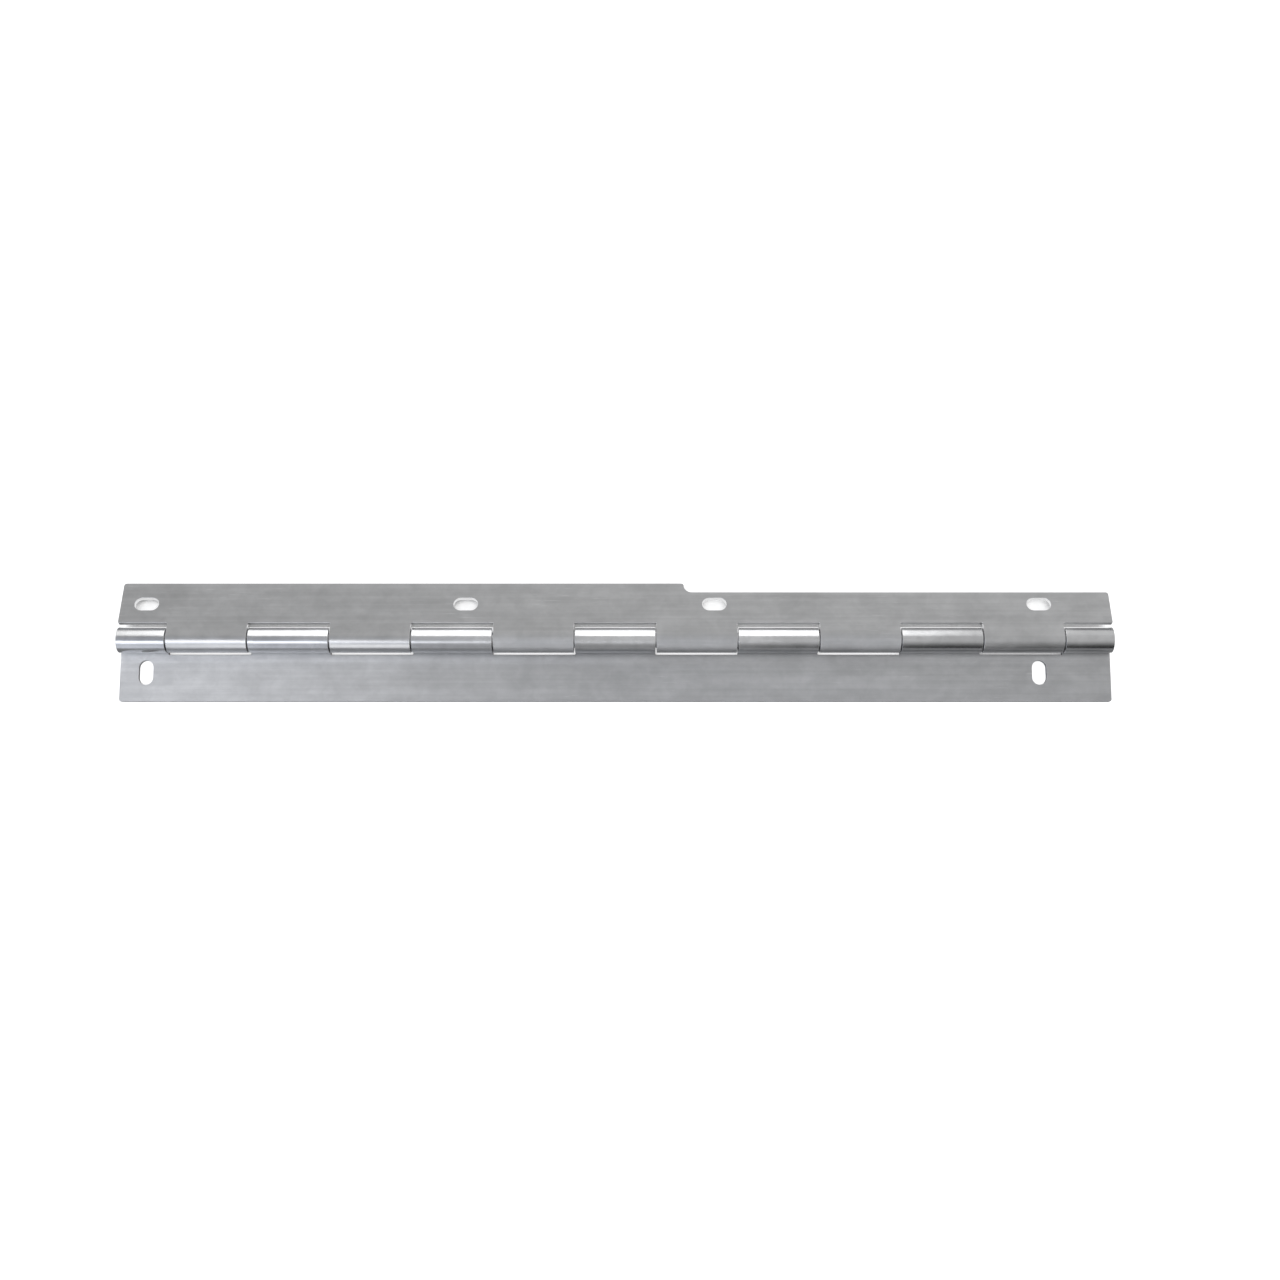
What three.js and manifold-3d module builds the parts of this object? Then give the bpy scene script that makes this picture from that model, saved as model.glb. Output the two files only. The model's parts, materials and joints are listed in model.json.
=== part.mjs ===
// Piano hinge: two sheet-metal leaves, each rolled into knuckles that take turns along one full-length pin.
// Both leaves are rolled the same way round, so laid out flat their section is a Z: the plain leaf runs off
// the bottom of the barrel and the stepped leaf runs off the top.
// Units are millimetres and +Z is up. The origin is the centre of the plain leaf's mounting face, +X runs
// along the pin and +Y points from the plain leaf to the stepped leaf.

import * as THREE from "three";
import { mergeVertices } from "three/addons/utils/BufferGeometryUtils.js";
import Module from "manifold-3d";

// Stock
const SHEET = 1.52; // thickness of both leaves
const PIN_RADIUS = 2.38;
const PIN_CLEARANCE = 0.09; // running clearance between the pin and the rolled bore

// Barrel
const HINGE_LENGTH = 309.8; // over the two end knuckles
const KNUCKLE_COUNT = 13; // the two end knuckles are cut short
const KNUCKLE_PITCH = 25.4;
const KNUCKLE_GAP = 0.4; // end play between neighbouring knuckles
const SEAM_GAP = 0.15; // between a knuckle's rolled end and its own leaf

// Leaves, measured from the pin axis along the leaf
const PLAIN_WIDTH = 19.05;
const PLAIN_NOTCH = 4.3; // to the leaf's edge beside the other leaf's knuckles
const STEPPED_WIDE = 18.2;
const STEPPED_NARROW = 15.0;
const STEPPED_NOTCH = 4.0;
const STEP_X = 21.5; // where the wide part of the stepped leaf ends
const STEP_FILLET = 2.4; // inside corner of the step
const CORNER = 0.8; // outside corners

// Screw slots
const SLOT_WIDTH = 4.5;
const SLOT_LENGTH = 7.6;
const FIRST_SLOT_X = -146.8;
const LAST_SLOT_X = 132.6;
const STEPPED_SLOTS = { x: [FIRST_SLOT_X, -46.9, 31.0, LAST_SLOT_X], reach: 10.7, along: "x" };
const PLAIN_SLOTS = { x: [FIRST_SLOT_X, LAST_SLOT_X], reach: 9.9, along: "y" };

// Pin ends, hammered over into low domes that keep the pin in place
const HEAD_RADIUS = 2.95;
const HEAD_HEIGHT = 0.55;
const HEAD_GAP = 0.05; // between a dome and the end knuckle's face

// Smoothness
const CURL_DIVISIONS = 20; // an arc gets twice as many segments
const CORNER_DIVISIONS = 4;
const PIN_SEGMENTS = 48;

const BORE_RADIUS = PIN_RADIUS + PIN_CLEARANCE;
const BARREL_RADIUS = BORE_RADIUS + SHEET;
const HALF_LENGTH = HINGE_LENGTH / 2;
const SNAP = 1e4; // vertices are rounded to a ten-thousandth of a millimetre, to keep shared planes shared

const wasm = await Module();
wasm.setup();

// A closed three.js geometry as a manifold solid.
function solid(geometry) {
  const bare = geometry.index ? geometry.toNonIndexed() : geometry.clone();
  bare.deleteAttribute("normal");
  bare.deleteAttribute("uv");
  const merged = mergeVertices(bare, 1e-5);
  const vertProperties = merged.attributes.position.array.map((v) => Math.round(v * SNAP) / SNAP);
  const triVerts = new Uint32Array(merged.index.array);
  return new wasm.Manifold(new wasm.Mesh({ numProp: 3, vertProperties, triVerts }));
}

// A manifold solid back as a three.js geometry with flat facets.
function geometryOf(manifold) {
  const mesh = manifold.getMesh();
  const indexed = new THREE.BufferGeometry();
  indexed.setAttribute("position", new THREE.BufferAttribute(mesh.vertProperties, 3));
  indexed.setIndex(new THREE.BufferAttribute(mesh.triVerts, 1));
  const flat = indexed.toNonIndexed();
  flat.computeVertexNormals();
  return flat;
}

// The stretch of the barrel that one knuckle fills, counted from the -X end.
function knuckleSpan(index) {
  const start = (index - KNUCKLE_COUNT / 2) * KNUCKLE_PITCH;
  return {
    from: Math.max(start + KNUCKLE_GAP / 2, -HALF_LENGTH),
    to: Math.min(start + KNUCKLE_PITCH - KNUCKLE_GAP / 2, HALF_LENGTH),
  };
}

// Section of a knuckle in a plane across the pin: a short tab of the leaf, tangent to the top of the barrel,
// and the curl that goes on from it round the pin until its end nearly meets the leaf from below.
function knuckleSection(notch) {
  const tab = notch + SHEET;
  const top = Math.PI / 2;
  const end = 2 * Math.PI + Math.asin((BORE_RADIUS - SEAM_GAP) / BARREL_RADIUS);
  const shape = new THREE.Shape();
  shape.moveTo(tab, BARREL_RADIUS);
  shape.lineTo(0, BARREL_RADIUS);
  shape.absarc(0, 0, BARREL_RADIUS, top, end, false);
  shape.lineTo(BORE_RADIUS * Math.cos(end), BORE_RADIUS * Math.sin(end));
  shape.absarc(0, 0, BORE_RADIUS, end, top, true);
  shape.lineTo(tab, BORE_RADIUS);
  shape.closePath();
  return shape;
}

function knuckle(index, notch) {
  const { from, to } = knuckleSpan(index);
  const geometry = new THREE.ExtrudeGeometry(knuckleSection(notch), {
    depth: to - from,
    curveSegments: CURL_DIVISIONS,
    bevelEnabled: false,
  });
  const acrossPin = new THREE.Matrix4().makeBasis(
    new THREE.Vector3(0, 1, 0),
    new THREE.Vector3(0, 0, 1),
    new THREE.Vector3(1, 0, 0),
  );
  return solid(geometry.applyMatrix4(acrossPin).translate(from, 0, 0));
}

// An obround hole centred on (x, y), its long side along "x" or "y".
function slotPath(x, y, along) {
  const r = SLOT_WIDTH / 2;
  const half = SLOT_LENGTH / 2 - r;
  const turn = along === "x" ? 0 : Math.PI / 2;
  const dx = along === "x" ? half : 0;
  const dy = along === "x" ? 0 : half;
  const path = new THREE.Path();
  path.absarc(x + dx, y + dy, r, turn - Math.PI / 2, turn + Math.PI / 2, false);
  path.absarc(x - dx, y - dy, r, turn + Math.PI / 2, turn + (3 * Math.PI) / 2, false);
  path.closePath();
  return path;
}

// Outline of a leaf between its notched edge and its free edge, seen from above. The free edge is at
// leftWidth up to STEP_X and at rightWidth after it.
function leafOutline(leftWidth, rightWidth, notch) {
  const shape = new THREE.Shape();
  shape.moveTo(-HALF_LENGTH, notch);
  shape.lineTo(HALF_LENGTH, notch);
  shape.absarc(HALF_LENGTH - CORNER, rightWidth - CORNER, CORNER, 0, Math.PI / 2, false);
  if (leftWidth > rightWidth) {
    const fillet = rightWidth + STEP_FILLET;
    shape.absarc(STEP_X + STEP_FILLET, fillet, STEP_FILLET, -Math.PI / 2, -Math.PI, true);
    shape.absarc(STEP_X - CORNER, leftWidth - CORNER, CORNER, 0, Math.PI / 2, false);
  }
  shape.absarc(CORNER - HALF_LENGTH, leftWidth - CORNER, CORNER, Math.PI / 2, Math.PI, false);
  shape.closePath();
  return shape;
}

// The flat of a leaf, with its screw slots, lying tangent to the top of the barrel.
function leafPlate(leftWidth, rightWidth, notch, slots) {
  const outline = leafOutline(leftWidth, rightWidth, notch);
  outline.holes = slots.x.map((x) => slotPath(x, slots.reach, slots.along));
  const plate = new THREE.ExtrudeGeometry(outline, {
    depth: SHEET,
    curveSegments: CORNER_DIVISIONS,
    bevelEnabled: false,
  });
  return solid(plate.translate(0, 0, BORE_RADIUS));
}

// One leaf about its pin axis, going out along +Y from the top of the barrel, with every second knuckle.
function leaf(leftWidth, rightWidth, notch, slots, firstKnuckle) {
  let whole = leafPlate(leftWidth, rightWidth, notch, slots);
  for (let index = firstKnuckle; index < KNUCKLE_COUNT; index += 2) {
    whole = whole.add(knuckle(index, notch));
  }
  return geometryOf(whole);
}

// The pin about its own axis along X, with a low dome on each end.
function pinGeometry() {
  const face = HALF_LENGTH + HEAD_GAP;
  const domeSteps = 5;
  const dome = [];
  for (let i = 0; i <= domeSteps; i += 1) {
    const angle = ((Math.PI / 2) * i) / domeSteps;
    dome.push([HEAD_RADIUS * Math.sin(angle), face + HEAD_HEIGHT * Math.cos(angle)]);
  }
  const fromPole = [...dome, [PIN_RADIUS, face]];
  const points = [
    ...fromPole.map(([radius, along]) => new THREE.Vector2(radius, -along)),
    ...fromPole.reverse().map(([radius, along]) => new THREE.Vector2(radius, along)),
  ];
  const lathe = new THREE.LatheGeometry(points, PIN_SEGMENTS).rotateZ(-Math.PI / 2);
  return geometryOf(solid(lathe));
}

function namedMesh(name, geometry, color, roughness) {
  const material = new THREE.MeshStandardMaterial({ color, roughness, metalness: 1 });
  const mesh = new THREE.Mesh(geometry, material);
  mesh.name = name;
  return mesh;
}

// At rest the hinge lies open on a flat surface: the plain leaf is flat on it, and the stepped leaf, which
// leaves the barrel at the top, leans down until the wide part's free edge meets the same surface.
function restingLean() {
  const reach = Math.hypot(STEPPED_WIDE, BORE_RADIUS);
  return Math.atan2(BORE_RADIUS, STEPPED_WIDE) + Math.asin(BARREL_RADIUS / reach);
}

const hinge = new THREE.Group();

const plainLeaf = namedMesh(
  "plain_leaf",
  leaf(PLAIN_WIDTH, PLAIN_WIDTH, PLAIN_NOTCH, PLAIN_SLOTS, 0),
  0xb4b6ba,
  0.34,
);
plainLeaf.rotation.x = Math.PI;

const steppedLeaf = namedMesh(
  "stepped_leaf",
  leaf(STEPPED_WIDE, STEPPED_NARROW, STEPPED_NOTCH, STEPPED_SLOTS, 1),
  0xaeb0b2,
  0.38,
);
steppedLeaf.rotation.x = -restingLean();

const pin = namedMesh("hinge_pin", pinGeometry(), 0x9fa1a4, 0.3);

const aboutPin = new THREE.Group();
aboutPin.position.set(0, PLAIN_WIDTH / 2, BARREL_RADIUS);
aboutPin.add(plainLeaf, steppedLeaf, pin);
hinge.add(aboutPin);

export default hinge;
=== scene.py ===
"""Piano hinge: two leaves of rolled sheet steel on one pin, lying open on a pale floor.

Each leaf is built as the real one is: a flat blank with slots, notches and rounded sheared edges, whose
fingers are then rolled round the pin. The three pieces stand for the three CAD nodes and ride on their
bodies. Lengths are in metres.
"""
import json
import math
from collections import namedtuple

import bmesh
import bpy
from mathutils import Matrix, Vector, geometry, noise


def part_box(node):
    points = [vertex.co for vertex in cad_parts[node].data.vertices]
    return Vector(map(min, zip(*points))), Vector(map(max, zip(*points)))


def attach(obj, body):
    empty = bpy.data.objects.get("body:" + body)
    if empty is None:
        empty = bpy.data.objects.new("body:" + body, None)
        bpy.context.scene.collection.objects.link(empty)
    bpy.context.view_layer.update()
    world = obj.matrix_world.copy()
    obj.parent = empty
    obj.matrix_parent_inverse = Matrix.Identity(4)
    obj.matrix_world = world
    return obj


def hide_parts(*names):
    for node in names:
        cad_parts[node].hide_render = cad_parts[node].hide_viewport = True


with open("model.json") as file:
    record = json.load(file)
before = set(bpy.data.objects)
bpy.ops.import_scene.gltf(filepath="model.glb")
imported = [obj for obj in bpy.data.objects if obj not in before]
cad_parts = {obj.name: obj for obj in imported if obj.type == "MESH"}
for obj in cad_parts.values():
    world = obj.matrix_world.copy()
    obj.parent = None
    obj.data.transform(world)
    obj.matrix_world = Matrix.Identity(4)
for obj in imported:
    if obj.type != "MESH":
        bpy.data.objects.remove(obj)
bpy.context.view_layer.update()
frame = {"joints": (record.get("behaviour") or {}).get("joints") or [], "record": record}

MM = 0.001

# The barrel
SHEET = 1.52 * MM
PIN_RADIUS = 2.38 * MM
SEAM_GAP = 0.15 * MM  # between a knuckle's rolled end and its own leaf
KNUCKLE_COUNT = 13
KNUCKLE_PITCH = 25.4 * MM
KNUCKLE_GAP = 0.4 * MM

# The leaves, measured from the pin axis along the leaf. A notch ends at the leaf's edge beside the other
# leaf's knuckles.
PLAIN_NOTCH = 4.3 * MM
STEPPED_NOTCH = 4.0 * MM
STEPPED_NARROW = 15.0 * MM
STEP_X = 21.5 * MM
STEP_FILLET = 2.4 * MM
CORNER = 0.8 * MM
SLOT_LONG = 7.6 * MM
SLOT_SHORT = 4.5 * MM
FIRST_SLOT_X = -146.8 * MM
LAST_SLOT_X = 132.6 * MM
STEPPED_SLOTS = [(x, 10.7 * MM) for x in (FIRST_SLOT_X, -46.9 * MM, 31.0 * MM, LAST_SLOT_X)]
PLAIN_SLOTS = [(x, 9.9 * MM) for x in (FIRST_SLOT_X, LAST_SLOT_X)]

# Small shapes of the sheet
EDGE_RADIUS = 0.13 * MM  # where a sheared edge is broken
PUNCH_CORNER = 0.35 * MM  # inside and outside corners of fingers and notches
SLOT_ROUND = 0.999  # of half the slot's width, so that the arcs of a slot's end don't share a point
WAVE_HEIGHT = 0.035 * MM  # how far the leaves are out of flat
WAVE_FROM = PLAIN_NOTCH  # where the waviness begins, and the stretch over which it comes in
WAVE_RUN = 6 * MM
LONG_WAVE = (55 * MM, 30 * MM)  # length of a wave along the hinge and across it
SHORT_WAVE = (17 * MM, 12 * MM)
SHORT_WAVE_SHARE = 0.35
SHORT_WAVE_SEED = 9  # keeps the short waves unlike the long ones

# The pin's ends
HEAD_GAP = 0.05 * MM  # between a dome and the end knuckle
DENT_DEPTH = 0.05 * MM  # hammer marks
DENTS_PER_METRE = 900

# Fineness of the meshes
CURL_STEP = math.radians(5)
TAB_ROWS = 3  # between the barrel and the notch's edge
GRID = 2.6 * MM
LEAST_COLUMNS = 3
SLOT_CLEARANCE = 0.75 * SLOT_LONG  # from a slot's centre to the first grid point
ROUND_STEPS = 3
ARC_STEP = math.radians(11)
LEAST_STRETCH = 0.5  # keeps an inset corner from running away
PIN_AROUND = 64
PIN_RINGS = 12
DOME_STEPS = 9
FLAT_WEIGHT = 90  # how strongly large faces hold the shading of their edges
SAME = 1e-9  # lengths this close are the same
JOINED = 1e-7  # points this close are joined

# Taken from the CAD
PIN_AXIS = Vector(frame["joints"][0]["pos_m"])
PLAIN_LOW, PLAIN_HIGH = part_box("plain_leaf")
_, STEPPED_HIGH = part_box("stepped_leaf")
_, PIN_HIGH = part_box("hinge_pin")
MOUNTS = {mount["name"]: mount for mount in frame["record"]["mounts"]}
LEAN_AXIS = Vector(MOUNTS["stepped_leaf_mounting_face"]["axis"])
LEAN = math.atan2(LEAN_AXIS.y, LEAN_AXIS.z)
HALF_LENGTH = PLAIN_HIGH.x
BARREL_RADIUS = PIN_AXIS.z - PLAIN_LOW.z
BORE_RADIUS = BARREL_RADIUS - SHEET
NEUTRAL_RADIUS = BORE_RADIUS + SHEET / 2
PLAIN_WIDTH = PIN_AXIS.y - PLAIN_LOW.y
STEPPED_WIDE = (STEPPED_HIGH.y - PIN_AXIS.y - BARREL_RADIUS * math.sin(LEAN)) / math.cos(LEAN)
CURL_ANGLE = 1.5 * math.pi + math.asin((BORE_RADIUS - SEAM_GAP) / BARREL_RADIUS)
CURL_LENGTH = CURL_ANGLE * NEUTRAL_RADIUS

# A leaf, with the knuckles' (low, high) spans along the pin and its slots' (x, reach) centres
Leaf = namedtuple("Leaf", "spans slots slot_size left_width right_width notch seed")

# A smooth run from low to high while a value goes from start to end
Fade = namedtuple("Fade", "start end low high", defaults=(0.0, 1.0))

# Noise, with so many features per metre along the strip, across it and through it
Pattern = namedtuple("Pattern", "frequency detail roughness distortion turn", defaults=(0.5, 0.0, 0.0))
CLOUDS = Pattern((60, 110, 60), 4.0, 0.6)
BLOTCHES = Pattern((240, 260, 240), 3.0, 0.6, distortion=0.4)
GRAIN = Pattern((220, 9000, 2500), 3.0, 0.7)
FINE = Pattern((5200, 5200, 5200), 2.0, 0.6)
STREAKS = Pattern((9, 700, 9), 3.0, 0.6)
SCRATCHES = Pattern((150, 2600, 150), 2.0, turn=math.radians(38))
SCRATCHED_PLACES = Pattern((45, 60, 45), 2.0)
FIBRES = Pattern((900, 900, 900), 3.0, 0.6)

# A piece's finish. The tone is a factor on its tint. Another factor paints lighting in at the hinge's left
# end, for the light the leaves mirror there: the plain leaf is painted lighter there and the stepped leaf a
# little darker. A further factor is how much lighter a flat is painted just beside the barrel, a painted band
# of light, and shift keeps the pieces' patterns unlike each other.
Finish = namedtuple("Finish", "tint roughness rolls_at_ends rolls_at_middle tone_at_left tone burnish shift")
PLAIN_FINISH = Finish(
    tint=(0.61, 0.613, 0.618),
    roughness=0.48,
    rolls_at_ends=0.20,
    rolls_at_middle=0.20,
    tone_at_left=1.24,
    tone=0.75,
    burnish=0.26,
    shift=0.2,
)
STEPPED_FINISH = Finish(
    tint=(0.52, 0.522, 0.525),
    roughness=0.36,
    rolls_at_ends=0.30,
    rolls_at_middle=0.60,
    tone_at_left=0.90,
    tone=0.93,
    burnish=0.0,
    shift=0.7,
)
PIN_FINISH = Finish(
    tint=(0.6, 0.605, 0.61),
    roughness=0.28,
    rolls_at_ends=0.28,
    rolls_at_middle=0.28,
    tone_at_left=1.0,
    tone=1.0,
    burnish=0.0,
    shift=1.3,
)
ROLL = Fade(1.0 * MM, -0.6 * MM)  # where a flat turns into a knuckle
# the stretch along the hinge over which the painted lighting of the left end fades out
PAINTED_LIGHTING_RUN = (-155 * MM, 0.0)
PAINTED_LIGHT_BY_BARREL = (5.7 * MM, 1.35 * MM)  # middle and width of the band of painted light on the flat beside the barrel
ROLLS_CENTRE = 25 * MM  # the smoothness of the knuckles changes with the distance from here
ROLLS_RUN = (55 * MM, 95 * MM)
CLOUD_SHADES = (0.86, 1.05)
NOISE_SPREAD = (0.3, 0.7)  # noise hardly leaves this range
NOISE_MIDDLE = 0.5
TONE_VARIATION = Fade(*NOISE_SPREAD, 0.95, 1.05)
CLOUD_ROUGHNESS = Fade(*NOISE_SPREAD, -0.012, 0.028)
FINE_ROUGHNESS = 0.05
SCRATCH_EDGES = (0.63, 0.74)
SCRATCHED_EDGES = (0.5, 0.62)
GRAIN_SHADE = (0.18, (0.42, 0.43, 0.45, 1))  # share and colour
SCUFF_SHADE = (0.25, (0.80, 0.81, 0.82, 1))
WORN_SHADE = (0.5, (0.74, 0.74, 0.745, 1))
RELIEF = {"grain": 0.55, "fine": 0.25, "blotches": 0.8}
RELIEF_STRENGTH = 0.35
RELIEF_DEPTH = 0.03 * MM
BRUSHED = 0.25

# The floor
FLOOR_GAP = 0.05 * MM  # what the floor stays below the hinge
FLOOR_HALF = 3.0
PAPER_GREYS = (0.40, 0.44)
SHADE_REACH = 6 * MM  # how far off the hinge still hides the sky from the floor
SHADE_SAMPLES = 8
# Where the floor's painted shade and its painted glow in the steel change
BEHIND_PIN = Fade(PIN_AXIS.y + 1 * MM, PIN_AXIS.y + 4 * MM)
PAST_LEAF = Fade(STEPPED_HIGH.y - 1 * MM, STEPPED_HIGH.y + 1 * MM, 1.0, 0.3)
PAST_ENDS = Fade(HALF_LENGTH, HALF_LENGTH + 3 * MM, 1.15, 0.1)
OPEN_FLOOR = Fade(0.0, 0.2, 0.35, 1.0)  # by how much of the sky the floor has above it
# painted shade on the floor under the leaning leaf
UNDER_LEAF = Fade(0.3, 0.6, 0.1, 1.0)
NOTCH_SKY = (0.2, 0.5)
NOTCH_LIGHT = Fade(90 * MM, 112 * MM, 1.0, 0.45)  # the floor's painted light in narrow gaps, less towards the right end

# The room that the steel mirrors, by the rise of a direction over the hinge, 0 overhead and positive towards
# the back, and by its side, the part of it that lies along the hinge
TO_FRONT = Fade(math.radians(-5), math.radians(-75))
TO_BACK = Fade(math.radians(20), math.radians(50))
LOW_BACK = Fade(math.radians(48), math.radians(68), 0.0, 0.15)
ABOVE_LEFT = Fade(-0.25, -0.10, 0.42, 0.80)
ABOVE_RIGHT = Fade(0.02, 0.18, 0.0, -0.15)
FRONT_LEFT = Fade(-0.31, -0.10, 1.05, 0.43)
FRONT_RIGHT = Fade(0.0, 0.16, 0.0, -0.40)
BACK_LEFT = Fade(-0.28, -0.10, 0.68, 0.80)
WINDOW_RISE = math.radians(-29)
WINDOW_WIDTH = math.radians(9)
WINDOW_GLOW = 3.0
WINDOW_SIDE = Fade(-0.07, -0.25)
AROUND_ABOVE = 0.85
AROUND_FRONT = 0.42
OUT_OF_LINE = Fade(0.34, 0.5)
COOL_SIDE = Fade(0.0, -0.3)
COOL_RISE = Fade(math.radians(40), 0.0)
NEUTRAL = (1, 1, 1, 1)
COOL = (0.93, 0.97, 1.07, 1)

# Softboxes that face the hinge. Aside is how far along the hinge their middle is.
Softbox = namedtuple("Softbox", "name rise aside width height radiance")
SOFTBOX_DISTANCE = 0.8
BEHIND = Softbox("behind", math.radians(59), -0.093, 0.635, 0.89, 1.5)
FRONT = Softbox("front", math.radians(-65), -0.11, 0.54, 0.5, 1.15)
HIGH_LEFT = Softbox("high_left", math.radians(-18), -0.34, 0.24, 0.22, 2.4)

# The camera, about the pin's mid-length
CAMERA_TILT = math.radians(8.62)
CAMERA_DISTANCE = 517 * MM
CAMERA_ASIDE = 7.7 * MM
VIEW_WIDTH = 399.6 * MM  # what the frame's width spans at the pin
SENSOR_WIDTH = 36  # this one is in millimetres
CLIP_START = 10 * MM


# ---- Flat outlines -------------------------------------------------------------------------------------

def rounded(corners):
    """A closed outline from (x, s, radius) corners, with an arc in place of each corner."""
    points = []
    for index, (x, s, radius) in enumerate(corners):
        here = Vector((x, s))
        before = (Vector(corners[index - 1][:2]) - here).normalized()
        after = (Vector(corners[(index + 1) % len(corners)][:2]) - here).normalized()
        half = before.angle(after) / 2
        centre = here + (before + after).normalized() * radius / math.sin(half)
        start = here + before * radius / math.tan(half) - centre
        turn = (math.pi - 2 * half) * (1 if before.cross(after) < 0 else -1)
        steps = max(2, round(abs(turn) / ARC_STEP))
        for step in range(steps + 1):
            points.append(centre + Matrix.Rotation(turn * step / steps, 2) @ start)
    return points


def curl_lines(notch):
    """Where the lines across a finger lie, from its end up to the notch's edge."""
    steps = round(CURL_ANGLE / CURL_STEP)
    curl = [-CURL_LENGTH * step / steps for step in range(steps, -1, -1)]
    return curl + [notch * row / TAB_ROWS for row in range(1, TAB_ROWS + 1)]


def subdivided(points, notch):
    """The same outline with no long straight stretch, and a point on every line of the curl."""
    margin = CURL_STEP * NEUTRAL_RADIUS / 4
    fine = []
    for index, here in enumerate(points):
        there = points[(index + 1) % len(points)]
        fine.append(here)
        along_curl = abs(there.x - here.x) < SAME and min(here.y, there.y) < 0
        if along_curl:
            low, high = sorted((here.y, there.y))
            lines = [line for line in curl_lines(notch) if low + margin < line < high - margin]
            lines.sort(reverse=there.y < here.y)
            fine += [Vector((here.x, line)) for line in lines]
        else:
            steps = max(1, round((there - here).length / GRID))
            fine += [here.lerp(there, step / steps) for step in range(1, steps)]
    return fine


def knuckle_span(index):
    """Where a knuckle lies along the pin, counted from the left. The two end knuckles are cut short."""
    start = (index - KNUCKLE_COUNT / 2) * KNUCKLE_PITCH
    low = max(start + KNUCKLE_GAP / 2, -HALF_LENGTH)
    high = min(start + KNUCKLE_PITCH - KNUCKLE_GAP / 2, HALF_LENGTH)
    return low, high


def blank_outline(leaf):
    """A leaf's flat blank, seen from its outer side: s is the way out from the pin, negative on fingers."""
    corners = []
    for low, high in leaf.spans:
        if low > -HALF_LENGTH:
            corners.append((low, leaf.notch, PUNCH_CORNER))
        corners += [(low, -CURL_LENGTH, PUNCH_CORNER), (high, -CURL_LENGTH, PUNCH_CORNER)]
        if high < HALF_LENGTH:
            corners.append((high, leaf.notch, PUNCH_CORNER))
    if leaf.spans[0][0] > -HALF_LENGTH:
        corners.insert(0, (-HALF_LENGTH, leaf.notch, PUNCH_CORNER))
        corners.append((HALF_LENGTH, leaf.notch, PUNCH_CORNER))
    corners.append((HALF_LENGTH, leaf.right_width, CORNER))
    if leaf.left_width > leaf.right_width:
        corners += [(STEP_X, leaf.right_width, STEP_FILLET), (STEP_X, leaf.left_width, CORNER)]
    corners.append((-HALF_LENGTH, leaf.left_width, CORNER))
    return subdivided(rounded(corners), leaf.notch)


def slot_outline(x, s, size_x, size_s):
    """An obround hole, turned the other way round from the outline it is cut in."""
    left, right = x - size_x / 2, x + size_x / 2
    near, far = s - size_s / 2, s + size_s / 2
    radius = min(size_x, size_s) / 2 * SLOT_ROUND
    box = [(left, near), (left, far), (right, far), (right, near)]
    return rounded([(*corner, radius) for corner in box])


def inset(loop, distance):
    """The loop moved towards the metal by distance, each corner along its bisector."""
    moved = []
    for index, here in enumerate(loop):
        before = (here - loop[index - 1]).normalized()
        after = (loop[(index + 1) % len(loop)] - here).normalized()
        normal = Vector((-before.y - after.y, before.x + after.x)).normalized()
        stretch = max(LEAST_STRETCH, normal.dot(Vector((-before.y, before.x))))
        moved.append(here + normal * distance / stretch)
    return moved


def inside(point, loops):
    """Whether a point is in the metal between the loops."""
    odd = False
    for loop in loops:
        for index, here in enumerate(loop):
            last = loop[index - 1]
            if (here.y > point.y) != (last.y > point.y):
                crossing = last.x + (point.y - last.y) / (here.y - last.y) * (here.x - last.x)
                odd ^= point.x < crossing
    return odd


# ---- The sheet -----------------------------------------------------------------------------------------

def finger_points(leaf):
    """Points on the lines across each finger."""
    points = []
    for low, high in leaf.spans:
        columns = max(LEAST_COLUMNS, round((high - low) / GRID))
        for column in range(1, columns):
            x = low + (high - low) * column / columns
            points += [Vector((x, line)) for line in curl_lines(leaf.notch)[1:]]
    return points


def flat_points(leaf):
    """A square grid on the flat, clear of its slots."""
    points = []
    columns = round(2 * HALF_LENGTH / GRID)
    rows = round((leaf.left_width - leaf.notch) / GRID)
    for column in range(1, columns):
        x = -HALF_LENGTH + 2 * HALF_LENGTH * column / columns
        width = leaf.left_width if x < STEP_X else leaf.right_width
        for row in range(1, rows):
            s = leaf.notch + (leaf.left_width - leaf.notch) * row / rows
            to_slots = [math.hypot(x - slot_x, s - slot_s) for slot_x, slot_s in leaf.slots]
            if s < width - GRID / 2 and min(to_slots) > SLOT_CLEARANCE:
                points.append(Vector((x, s)))
    return points


def wave(x, s, seed):
    """How far the leaf is out of flat at a place, fading out towards the barrel."""
    fade = min(1, max(0, (s - WAVE_FROM) / WAVE_RUN))
    long_wave = noise.noise(Vector((x / LONG_WAVE[0], s / LONG_WAVE[1], seed)))
    short_wave = noise.noise(Vector((x / SHORT_WAVE[0], s / SHORT_WAVE[1], seed + SHORT_WAVE_SEED)))
    return WAVE_HEIGHT * fade * (long_wave + SHORT_WAVE_SHARE * short_wave)


def rolled(x, s, height, seed):
    """A place on the blank, height above its inner side, once the fingers are rolled round the pin."""
    if s >= 0:
        return Vector((x, s, BORE_RADIUS + height + wave(x, s, seed)))
    angle = -s / NEUTRAL_RADIUS
    radius = BORE_RADIUS + height
    return Vector((x, -radius * math.sin(angle), radius * math.cos(angle)))


def rim_profile():
    """(inset, height) steps from the inner face, round the sheared edge, to the outer face."""
    quarter = [math.pi / 2 * step / ROUND_STEPS for step in range(ROUND_STEPS + 1)]
    lower = [(EDGE_RADIUS * (1 - math.sin(a)), EDGE_RADIUS * (1 - math.cos(a))) for a in quarter]
    upper = [(across, SHEET - up) for across, up in reversed(lower)]
    return lower + upper


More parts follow.
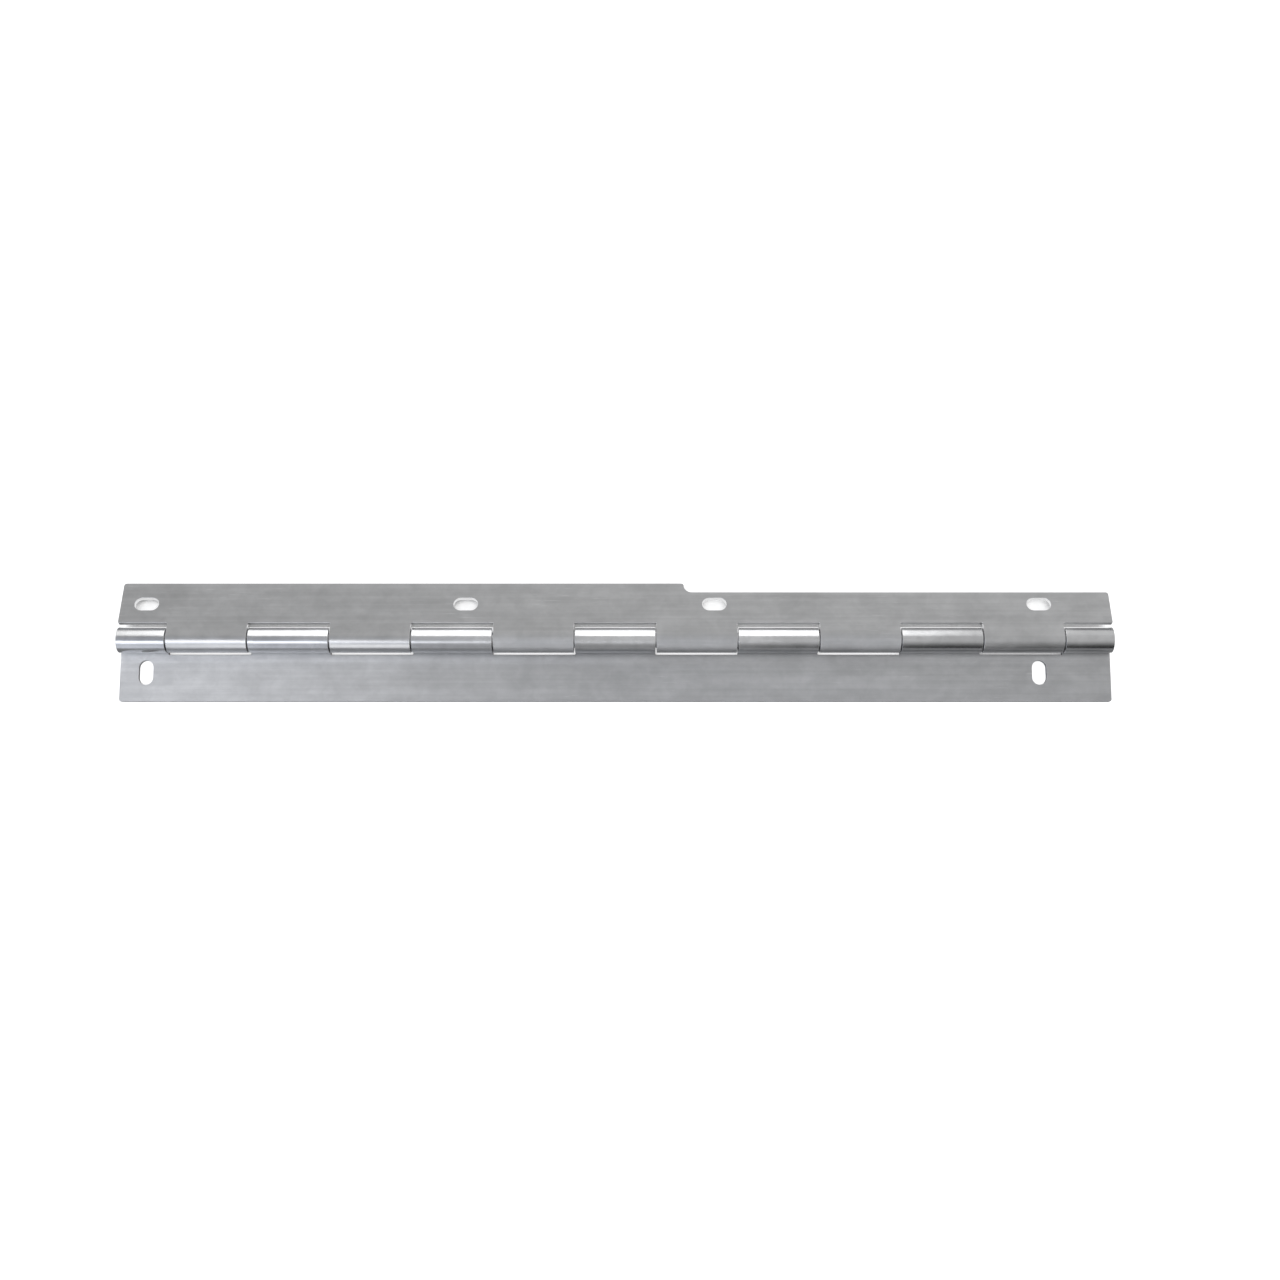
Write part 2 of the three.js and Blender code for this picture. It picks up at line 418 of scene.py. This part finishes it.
def new_vertex(mesh, position, sheet_place, wear):
    """A vertex that carries its place on the sheet and how worn it is, for the material."""
    made = mesh.verts.new(position)
    made[mesh.verts.layers.float_vector["sheet"]] = sheet_place
    made[mesh.verts.layers.float["worn"]] = wear
    return made


def new_mesh():
    mesh = bmesh.new()
    mesh.verts.layers.float_vector.new("sheet")
    mesh.verts.layers.float.new("worn")
    return mesh


def bridge(mesh, first, second):
    """Faces between two closed rings of vertices."""
    for index in range(len(first)):
        after = (index + 1) % len(first)
        mesh.faces.new((first[index], first[after], second[after], second[index]))


def leaf_mesh(name, leaf):
    """A closed mesh of one leaf about its pin axis, leaving the top of the barrel along +Y."""
    loops = [blank_outline(leaf)] + [slot_outline(x, s, *leaf.slot_size) for x, s in leaf.slots]
    face_loops = [inset(loop, EDGE_RADIUS) for loop in loops]
    edges, start = [], 0
    for loop in face_loops:
        count = len(loop)
        edges += [(start + index, start + (index + 1) % count) for index in range(count)]
        start += count
    flat = [point for loop in face_loops for point in loop] + finger_points(leaf) + flat_points(leaf)
    places, _, triangles, _, _, _ = geometry.delaunay_2d_cdt(flat, edges, [], 0, JOINED)

    mesh = new_mesh()

    def vertex(point, height, wear):
        position = rolled(point.x, point.y, height, leaf.seed)
        return new_vertex(mesh, position, (point.x, point.y, height), wear)

    inner = [vertex(point, 0, 0) for point in places]
    outer = [vertex(point, SHEET, 0) for point in places]
    for triangle in triangles:
        middle = sum((places[index] for index in triangle), Vector((0, 0))) / 3
        if inside(middle, face_loops):
            mesh.faces.new([outer[index] for index in triangle])
            mesh.faces.new([inner[index] for index in reversed(triangle)])

    start = 0
    for loop in loops:
        end = start + len(loop)
        rings = [inner[start:end]]
        for across, height in rim_profile()[1:-1]:
            rings.append([vertex(point, height, 1) for point in inset(loop, across)])
        rings.append(outer[start:end])
        for lower, upper in zip(rings, rings[1:]):
            bridge(mesh, lower, upper)
        start = end
    return finished(mesh, name)


def finished(mesh, name):
    """The bmesh as a smooth-shaded object, with stray vertices gone and its flats kept flat."""
    loose = [vert for vert in mesh.verts if not vert.link_faces]
    bmesh.ops.delete(mesh, geom=loose, context="VERTS")
    data = bpy.data.meshes.new(name)
    mesh.to_mesh(data)
    mesh.free()
    data.shade_smooth()
    piece = linked(name, data)
    weighted = piece.modifiers.new("flats", "WEIGHTED_NORMAL")
    weighted.mode = "FACE_AREA"
    weighted.weight = FLAT_WEIGHT
    return piece


def linked(name, data):
    """A new object in the scene."""
    made = bpy.data.objects.new(name, data)
    bpy.context.scene.collection.objects.link(made)
    return made


# ---- The pin -------------------------------------------------------------------------------------------

def pin_profile(head_face, head_height):
    """(radius, x) along the pin, from near the tip of the +X dome to near the tip of the -X dome."""
    head_radius = PIN_HIGH.z - PIN_AXIS.z
    half = []
    for step in range(1, DOME_STEPS + 1):
        angle = math.pi / 2 * step / DOME_STEPS
        half.append((head_radius * math.sin(angle), head_face + head_height * math.cos(angle)))
    half += [(PIN_RADIUS, head_face * ring / PIN_RINGS) for ring in range(PIN_RINGS, 0, -1)]
    return half + [(PIN_RADIUS, 0)] + [(radius, -x) for radius, x in reversed(half)]


def pin_mesh(name):
    """The pin about its own axis, with a low hammered dome on each end."""
    head_face = HALF_LENGTH + HEAD_GAP
    head_height = PIN_HIGH.x - head_face
    mesh = new_mesh()

    def vertex(radius, angle, x, wear):
        across, up = radius * math.cos(angle), radius * math.sin(angle)
        dent = 0
        if abs(x) > head_face:
            dent = DENT_DEPTH * abs(noise.noise(Vector((across, up, x)) * DENTS_PER_METRE))
        position = (x - math.copysign(dent, x), across, up)
        return new_vertex(mesh, position, (x, radius * angle, radius), wear)

    rings = []
    for radius, x in pin_profile(head_face, head_height):
        wear = 1 if abs(x) >= head_face else 0
        rings.append([vertex(radius, math.tau * step / PIN_AROUND, x, wear) for step in range(PIN_AROUND)])
    for first, second in zip(rings, rings[1:]):
        bridge(mesh, first, second)
    for ring, x in ((rings[0], head_face + head_height), (rings[-1], -head_face - head_height)):
        tip = vertex(0, 0, x, 1)
        for index in range(PIN_AROUND):
            mesh.faces.new((tip, ring[index], ring[(index + 1) % PIN_AROUND]))
    bmesh.ops.recalc_face_normals(mesh, faces=mesh.faces)
    return finished(mesh, name)


# ---- Materials -----------------------------------------------------------------------------------------

class Nodes:
    """A few short calls for building a node tree."""

    def __init__(self, owner):
        owner.use_nodes = True
        self.tree = owner.node_tree
        self.tree.nodes.clear()

    def add(self, kind, settings=None, **inputs):
        """A new node. An input is named by its label, or as i and its number."""
        made = self.tree.nodes.new(kind)
        for key, value in (settings or {}).items():
            setattr(made, key, value)
        for key, value in inputs.items():
            self.put(made, key, value)
        return made

    def put(self, made, key, value):
        socket = made.inputs[int(key[1:])] if key[0] == "i" and key[1:].isdigit() else made.inputs[key]
        if isinstance(value, bpy.types.NodeSocket):
            self.tree.links.new(value, socket)
        else:
            socket.default_value = value

    def math(self, operation, first, second=0.0):
        return self.add("ShaderNodeMath", {"operation": operation}, i0=first, i1=second).outputs[0]

    def plus(self, first, second):
        return self.math("ADD", first, second)

    def minus(self, first, second):
        return self.math("SUBTRACT", first, second)

    def times(self, first, second):
        return self.math("MULTIPLY", first, second)

    def parts(self, vector):
        return self.add("ShaderNodeSeparateXYZ", None, Vector=vector).outputs

    def noise(self, place, pattern):
        turn = (0, 0, pattern.turn)
        mapped = self.add("ShaderNodeMapping", None, Vector=place, Rotation=turn, Scale=pattern.frequency)
        made = self.add("ShaderNodeTexNoise", None, Vector=mapped.outputs[0], Scale=1.0)
        self.put(made, "Detail", pattern.detail)
        self.put(made, "Roughness", pattern.roughness)
        self.put(made, "Distortion", pattern.distortion)
        return made.outputs["Fac"]

    def ramp(self, value, start, end):
        """Runs straight from 0 to 1 as the value goes from start to end."""
        made = self.add("ShaderNodeValToRGB", None, Fac=value)
        made.color_ramp.elements[0].position = start
        made.color_ramp.elements[1].position = end
        return made.outputs["Color"]

    def fade(self, value, start, end, low=0.0, high=1.0):
        """Runs smoothly from low to high as the value goes from start to end."""
        made = self.add("ShaderNodeMapRange", {"interpolation_type": "SMOOTHSTEP"}, Value=value)
        self.put(made, "From Min", start)
        self.put(made, "From Max", end)
        self.put(made, "To Min", low)
        self.put(made, "To Max", high)
        return made.outputs[0]

    def bell(self, value, centre, width, height):
        """A smooth hump of a given height about a centre."""
        off = self.math("DIVIDE", self.minus(value, centre), width)
        fall = self.math("EXPONENT", self.times(self.times(off, off), -1.0))
        return self.times(fall, height)

    def between(self, factor, first, second):
        made = self.add("ShaderNodeMix", {"data_type": "FLOAT"}, Factor=factor)
        self.put(made, "i2", first)
        self.put(made, "i3", second)
        return made.outputs[0]

    def mix(self, factor, first, second):
        made = self.add("ShaderNodeMix", {"data_type": "RGBA"}, Factor=factor)
        self.put(made, "i6", first)
        self.put(made, "i7", second)
        return made.outputs[2]

    def brightened(self, color, factor):
        made = self.add("ShaderNodeVectorMath", {"operation": "SCALE"}, i0=color, Scale=factor)
        return made.outputs[0]

    def end(self, kind, surface):
        self.put(self.add(kind), "Surface", surface)


def shaded(tint, factor):
    red, green, blue = tint[:3]
    return red * factor, green * factor, blue * factor, 1


def steel(name, finish):
    """Satin sheet steel: grain and streaks along the strip, cloudy patches, a few scuffs and brighter worn
    edges. The knuckles have a roughness of their own, at the hinge's ends and at its middle."""
    material = bpy.data.materials.new(name)
    n = Nodes(material)
    place = n.add("ShaderNodeAttribute", {"attribute_name": "sheet"}).outputs["Vector"]
    worn = n.add("ShaderNodeAttribute", {"attribute_name": "worn"}).outputs["Fac"]
    along, out_from_pin, _ = n.parts(place)
    on_roll = n.fade(out_from_pin, *ROLL)

    shifted = n.add("ShaderNodeMapping", None, Vector=place, Location=[finish.shift] * 3).outputs[0]
    clouds = n.noise(shifted, CLOUDS)
    blotches = n.noise(shifted, BLOTCHES)
    grain = n.noise(shifted, GRAIN)
    fine = n.noise(shifted, FINE)
    streaks = n.noise(shifted, STREAKS)
    scratches = n.ramp(n.noise(shifted, SCRATCHES), *SCRATCH_EDGES)
    scuffs = n.times(scratches, n.ramp(n.noise(shifted, SCRATCHED_PLACES), *SCRATCHED_EDGES))

    dark, light = CLOUD_SHADES
    cloudy = n.ramp(clouds, *NOISE_SPREAD)
    color = n.mix(cloudy, shaded(finish.tint, dark), shaded(finish.tint, light))
    # painted lighting: the flat's tone changes towards the hinge's left end, for the light the leaf mirrors
    # there
    tone = n.fade(along, *PAINTED_LIGHTING_RUN, finish.tone_at_left, finish.tone)
    # a painted band of light on the flat just beside the barrel
    tone = n.times(tone, n.plus(1.0, n.bell(out_from_pin, *PAINTED_LIGHT_BY_BARREL, finish.burnish)))
    tone = n.between(on_roll, tone, 1.0)
    tone = n.times(tone, n.fade(blotches, *TONE_VARIATION))
    tone = n.times(tone, n.fade(streaks, *TONE_VARIATION))
    color = n.brightened(color, tone)
    for amount, (share, shade) in ((grain, GRAIN_SHADE), (scuffs, SCUFF_SHADE), (worn, WORN_SHADE)):
        color = n.mix(n.times(amount, share), color, shade)

    from_centre = n.math("ABSOLUTE", n.minus(along, ROLLS_CENTRE))
    rolls = n.fade(from_centre, *ROLLS_RUN, finish.rolls_at_middle, finish.rolls_at_ends)
    rough = n.between(on_roll, finish.roughness, rolls)
    rough = n.plus(rough, n.fade(clouds, *CLOUD_ROUGHNESS))
    for pattern in (blotches, grain):
        rough = n.plus(rough, n.times(n.minus(pattern, NOISE_MIDDLE), FINE_ROUGHNESS))

    relief = n.plus(n.times(grain, RELIEF["grain"]), n.times(fine, RELIEF["fine"]))
    relief = n.plus(relief, n.times(blotches, RELIEF["blotches"]))
    bump = n.add("ShaderNodeBump", None, Strength=RELIEF_STRENGTH, Distance=RELIEF_DEPTH, Height=relief)

    surface = n.add("ShaderNodeBsdfPrincipled", None, Metallic=1.0, Normal=bump.outputs[0])
    n.put(surface, "Base Color", color)
    n.put(surface, "Roughness", rough)
    n.put(surface, "Anisotropic", BRUSHED)
    n.end("ShaderNodeOutputMaterial", surface.outputs[0])
    return material


def floor_material():
    """White paper that glows: bright to the camera, and in the steel a quiet grey with a painted glow behind
    the pin. The glow is dimmed as painted shade where the hinge hides the paper from the sky, most of all to
    the camera and under the leaning leaf."""
    material = bpy.data.materials.new("studio_paper")
    n = Nodes(material)
    place = n.add("ShaderNodeTexCoord").outputs["Object"]
    along, depth, _ = n.parts(place)
    dark, light = PAPER_GREYS
    grey = n.mix(n.noise(place, FIBRES), shaded(NEUTRAL, dark), shaded(NEUTRAL, light))
    paper = n.add("ShaderNodeBsdfDiffuse", None, Color=grey)

    sky = n.add("ShaderNodeAmbientOcclusion", {"samples": SHADE_SAMPLES}, Distance=SHADE_REACH)
    open_sky = sky.outputs["AO"]
    behind = n.fade(depth, *BEHIND_PIN)
    # painted shade: the glow the camera sees is dimmed where the hinge hides the sky, in narrow gaps less
    # towards the right end, most under the leaning leaf
    in_light = n.fade(open_sky, *OPEN_FLOOR)
    in_notch = n.fade(open_sky, *NOTCH_SKY, n.fade(along, *NOTCH_LIGHT), 1.0)
    seen = n.between(behind, n.times(in_light, in_notch), n.fade(open_sky, *UNDER_LEAF))
    # painted reflection: the paper glows in the steel behind the pin, fading past the leaning leaf's edge and
    # past the hinge's ends
    mirrored = n.times(n.fade(depth, *PAST_LEAF), n.fade(n.math("ABSOLUTE", along), *PAST_ENDS))
    mirrored = n.times(n.times(behind, in_light), mirrored)

    rays = n.add("ShaderNodeLightPath").outputs
    glow = n.plus(n.times(rays["Is Camera Ray"], seen), n.times(rays["Is Glossy Ray"], mirrored))
    glow = n.add("ShaderNodeEmission", None, Color=NEUTRAL, Strength=glow)
    both = n.add("ShaderNodeAddShader", None, i0=paper.outputs[0], i1=glow.outputs[0])
    n.end("ShaderNodeOutputMaterial", both.outputs[0])
    return material


# ---- The pieces ----------------------------------------------------------------------------------------

def add_piece(node, piece, material, turn, body):
    """Places a piece made about the pin axis, gives it its finish and lets it stand for its CAD node."""
    piece.data.transform(Matrix.Translation(PIN_AXIS) @ Matrix.Rotation(turn, 4, "X"))
    piece.data.materials.append(material)
    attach(piece, body)
    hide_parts(node)


def plain_leaf_shape(spans):
    return Leaf(
        spans=spans[0::2],
        slots=PLAIN_SLOTS,
        slot_size=(SLOT_SHORT, SLOT_LONG),
        left_width=PLAIN_WIDTH,
        right_width=PLAIN_WIDTH,
        notch=PLAIN_NOTCH,
        seed=3,
    )


def stepped_leaf_shape(spans):
    return Leaf(
        spans=spans[1::2],
        slots=STEPPED_SLOTS,
        slot_size=(SLOT_LONG, SLOT_SHORT),
        left_width=STEPPED_WIDE,
        right_width=STEPPED_NARROW,
        notch=STEPPED_NOTCH,
        seed=17,
    )


def build_hinge():
    spans = [knuckle_span(index) for index in range(KNUCKLE_COUNT)]
    plain = leaf_mesh("plain_leaf_steel", plain_leaf_shape(spans))
    stepped = leaf_mesh("stepped_leaf_steel", stepped_leaf_shape(spans))
    pin = pin_mesh("hinge_pin_steel")
    plain_satin = steel("plain_leaf_satin", PLAIN_FINISH)
    stepped_satin = steel("stepped_leaf_satin", STEPPED_FINISH)
    drawn = steel("pin_drawn", PIN_FINISH)
    add_piece("plain_leaf", plain, plain_satin, math.pi, "plain_leaf")
    add_piece("stepped_leaf", stepped, stepped_satin, -LEAN, "stepped_leaf")
    add_piece("hinge_pin", pin, drawn, 0, "plain_leaf")
    return plain, stepped


# ---- The studio ----------------------------------------------------------------------------------------

def build_floor():
    """The floor touches the hinge at rest. When the stepped leaf swings down it is under that leaf's edge."""
    data = bpy.data.meshes.new("floor")
    corners = [(-1, -1), (1, -1), (1, 1), (-1, 1)]
    data.from_pydata([(x * FLOOR_HALF, y * FLOOR_HALF, 0) for x, y in corners], [], [(0, 1, 2, 3)])
    floor = linked("floor", data)
    floor.data.materials.append(floor_material())
    floor.delta_location.z = -FLOOR_GAP

    out = Vector((0, math.cos(LEAN), -math.sin(LEAN)))
    up = Vector((0, math.sin(LEAN), math.cos(LEAN)))
    marks = {
        "table": (Vector((0, 0, 0)), None),
        "inner_edge": (PIN_AXIS + out * STEPPED_WIDE + up * BORE_RADIUS, "stepped_leaf"),
        "outer_edge": (PIN_AXIS + out * STEPPED_WIDE + up * BARREL_RADIUS, "stepped_leaf"),
    }
    driver = floor.driver_add("location", 2).driver
    driver.type = "MIN"
    for name, (place, body) in marks.items():
        mark = linked(name, None)
        mark.location = place
        bpy.context.view_layer.update()
        if body:
            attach(mark, body)
        height = driver.variables.new()
        height.name = name
        height.type = "TRANSFORMS"
        height.targets[0].id = mark
        height.targets[0].transform_type = "LOC_Z"


def build_world():
    """The room that the steel mirrors. Out of line with the hinge it is a plain light room, darker in front.
    In line with the hinge it is brightest at the front left, where there is also a bluish window, and darkest
    at the front right. The camera sees it white."""
    world = bpy.data.worlds.new("studio")
    bpy.context.scene.world = world
    n = Nodes(world)
    side, to_back, to_top = n.parts(n.add("ShaderNodeTexCoord").outputs["Generated"])
    rise = n.math("ARCTAN2", to_back, to_top)
    to_front = n.fade(rise, *TO_FRONT)

    above = n.plus(n.fade(side, *ABOVE_LEFT), n.fade(side, *ABOVE_RIGHT))
    front = n.plus(n.fade(side, *FRONT_LEFT), n.fade(side, *FRONT_RIGHT))
    in_line = n.between(to_front, above, front)
    in_line = n.between(n.fade(rise, *TO_BACK), in_line, n.fade(side, *BACK_LEFT))
    window = n.bell(rise, WINDOW_RISE, WINDOW_WIDTH, WINDOW_GLOW)
    in_line = n.plus(in_line, n.times(window, n.fade(side, *WINDOW_SIDE)))

    around = n.between(to_front, AROUND_ABOVE, AROUND_FRONT)
    around = n.plus(around, n.fade(rise, *LOW_BACK))
    out_of_line = n.fade(n.math("ABSOLUTE", side), *OUT_OF_LINE)
    room = n.between(out_of_line, in_line, around)

    coolness = n.times(n.fade(side, *COOL_SIDE), n.fade(rise, *COOL_RISE))
    lit = n.brightened(n.mix(coolness, NEUTRAL, COOL), room)
    mirrored = n.add("ShaderNodeBackground", None, Color=lit).outputs[0]
    white = n.add("ShaderNodeBackground", None, Color=NEUTRAL).outputs[0]
    to_camera = n.add("ShaderNodeLightPath").outputs["Is Camera Ray"]
    mixed = n.add("ShaderNodeMixShader", None, Fac=to_camera, i1=mirrored, i2=white)
    n.end("ShaderNodeOutputWorld", mixed.outputs[0])


def add_softbox(box, receiver):
    """A rectangular soft light that faces the hinge and lights only one leaf."""
    light = bpy.data.lights.new(box.name, "AREA")
    light.shape = "RECTANGLE"
    light.size, light.size_y = box.width, box.height
    light.energy = box.radiance * math.pi * box.width * box.height
    lamp = linked(box.name, light)
    back = Vector((0, math.sin(box.rise), math.cos(box.rise)))
    lamp.location = PIN_AXIS + back * SOFTBOX_DISTANCE + Vector((box.aside, 0, 0))
    lamp.rotation_euler = (-box.rise, 0, 0)
    lamp.visible_camera = False
    lit = bpy.data.collections.new(box.name + "_receivers")
    lit.objects.link(receiver)
    lamp.light_linking.receiver_collection = lit


def build_lights(plain_leaf, stepped_leaf):
    """A wide softbox behind makes the long highlight along the plain leaf's knuckles. A low one in front
    opens up the shaded side of the stepped leaf's knuckles, and a small one lights those at the left."""
    add_softbox(BEHIND, plain_leaf)
    add_softbox(FRONT, stepped_leaf)
    add_softbox(HIGH_LEFT, stepped_leaf)


def build_camera():
    """Almost straight down on the hinge, from a little on the plain leaf's side."""
    camera = linked("camera", bpy.data.cameras.new("camera"))
    back = Vector((0, -math.sin(CAMERA_TILT), math.cos(CAMERA_TILT)))
    camera.location = PIN_AXIS + back * CAMERA_DISTANCE + Vector((CAMERA_ASIDE, 0, 0))
    camera.rotation_mode = "QUATERNION"
    camera.rotation_quaternion = back.to_track_quat("Z", "Y")
    camera.data.sensor_width = SENSOR_WIDTH
    camera.data.lens = SENSOR_WIDTH * CAMERA_DISTANCE / VIEW_WIDTH
    camera.data.clip_start = CLIP_START
    bpy.context.scene.camera = camera
    bpy.context.scene.view_settings.view_transform = "Standard"


plain_leaf, stepped_leaf = build_hinge()
build_floor()
build_world()
build_lights(plain_leaf, stepped_leaf)
build_camera()
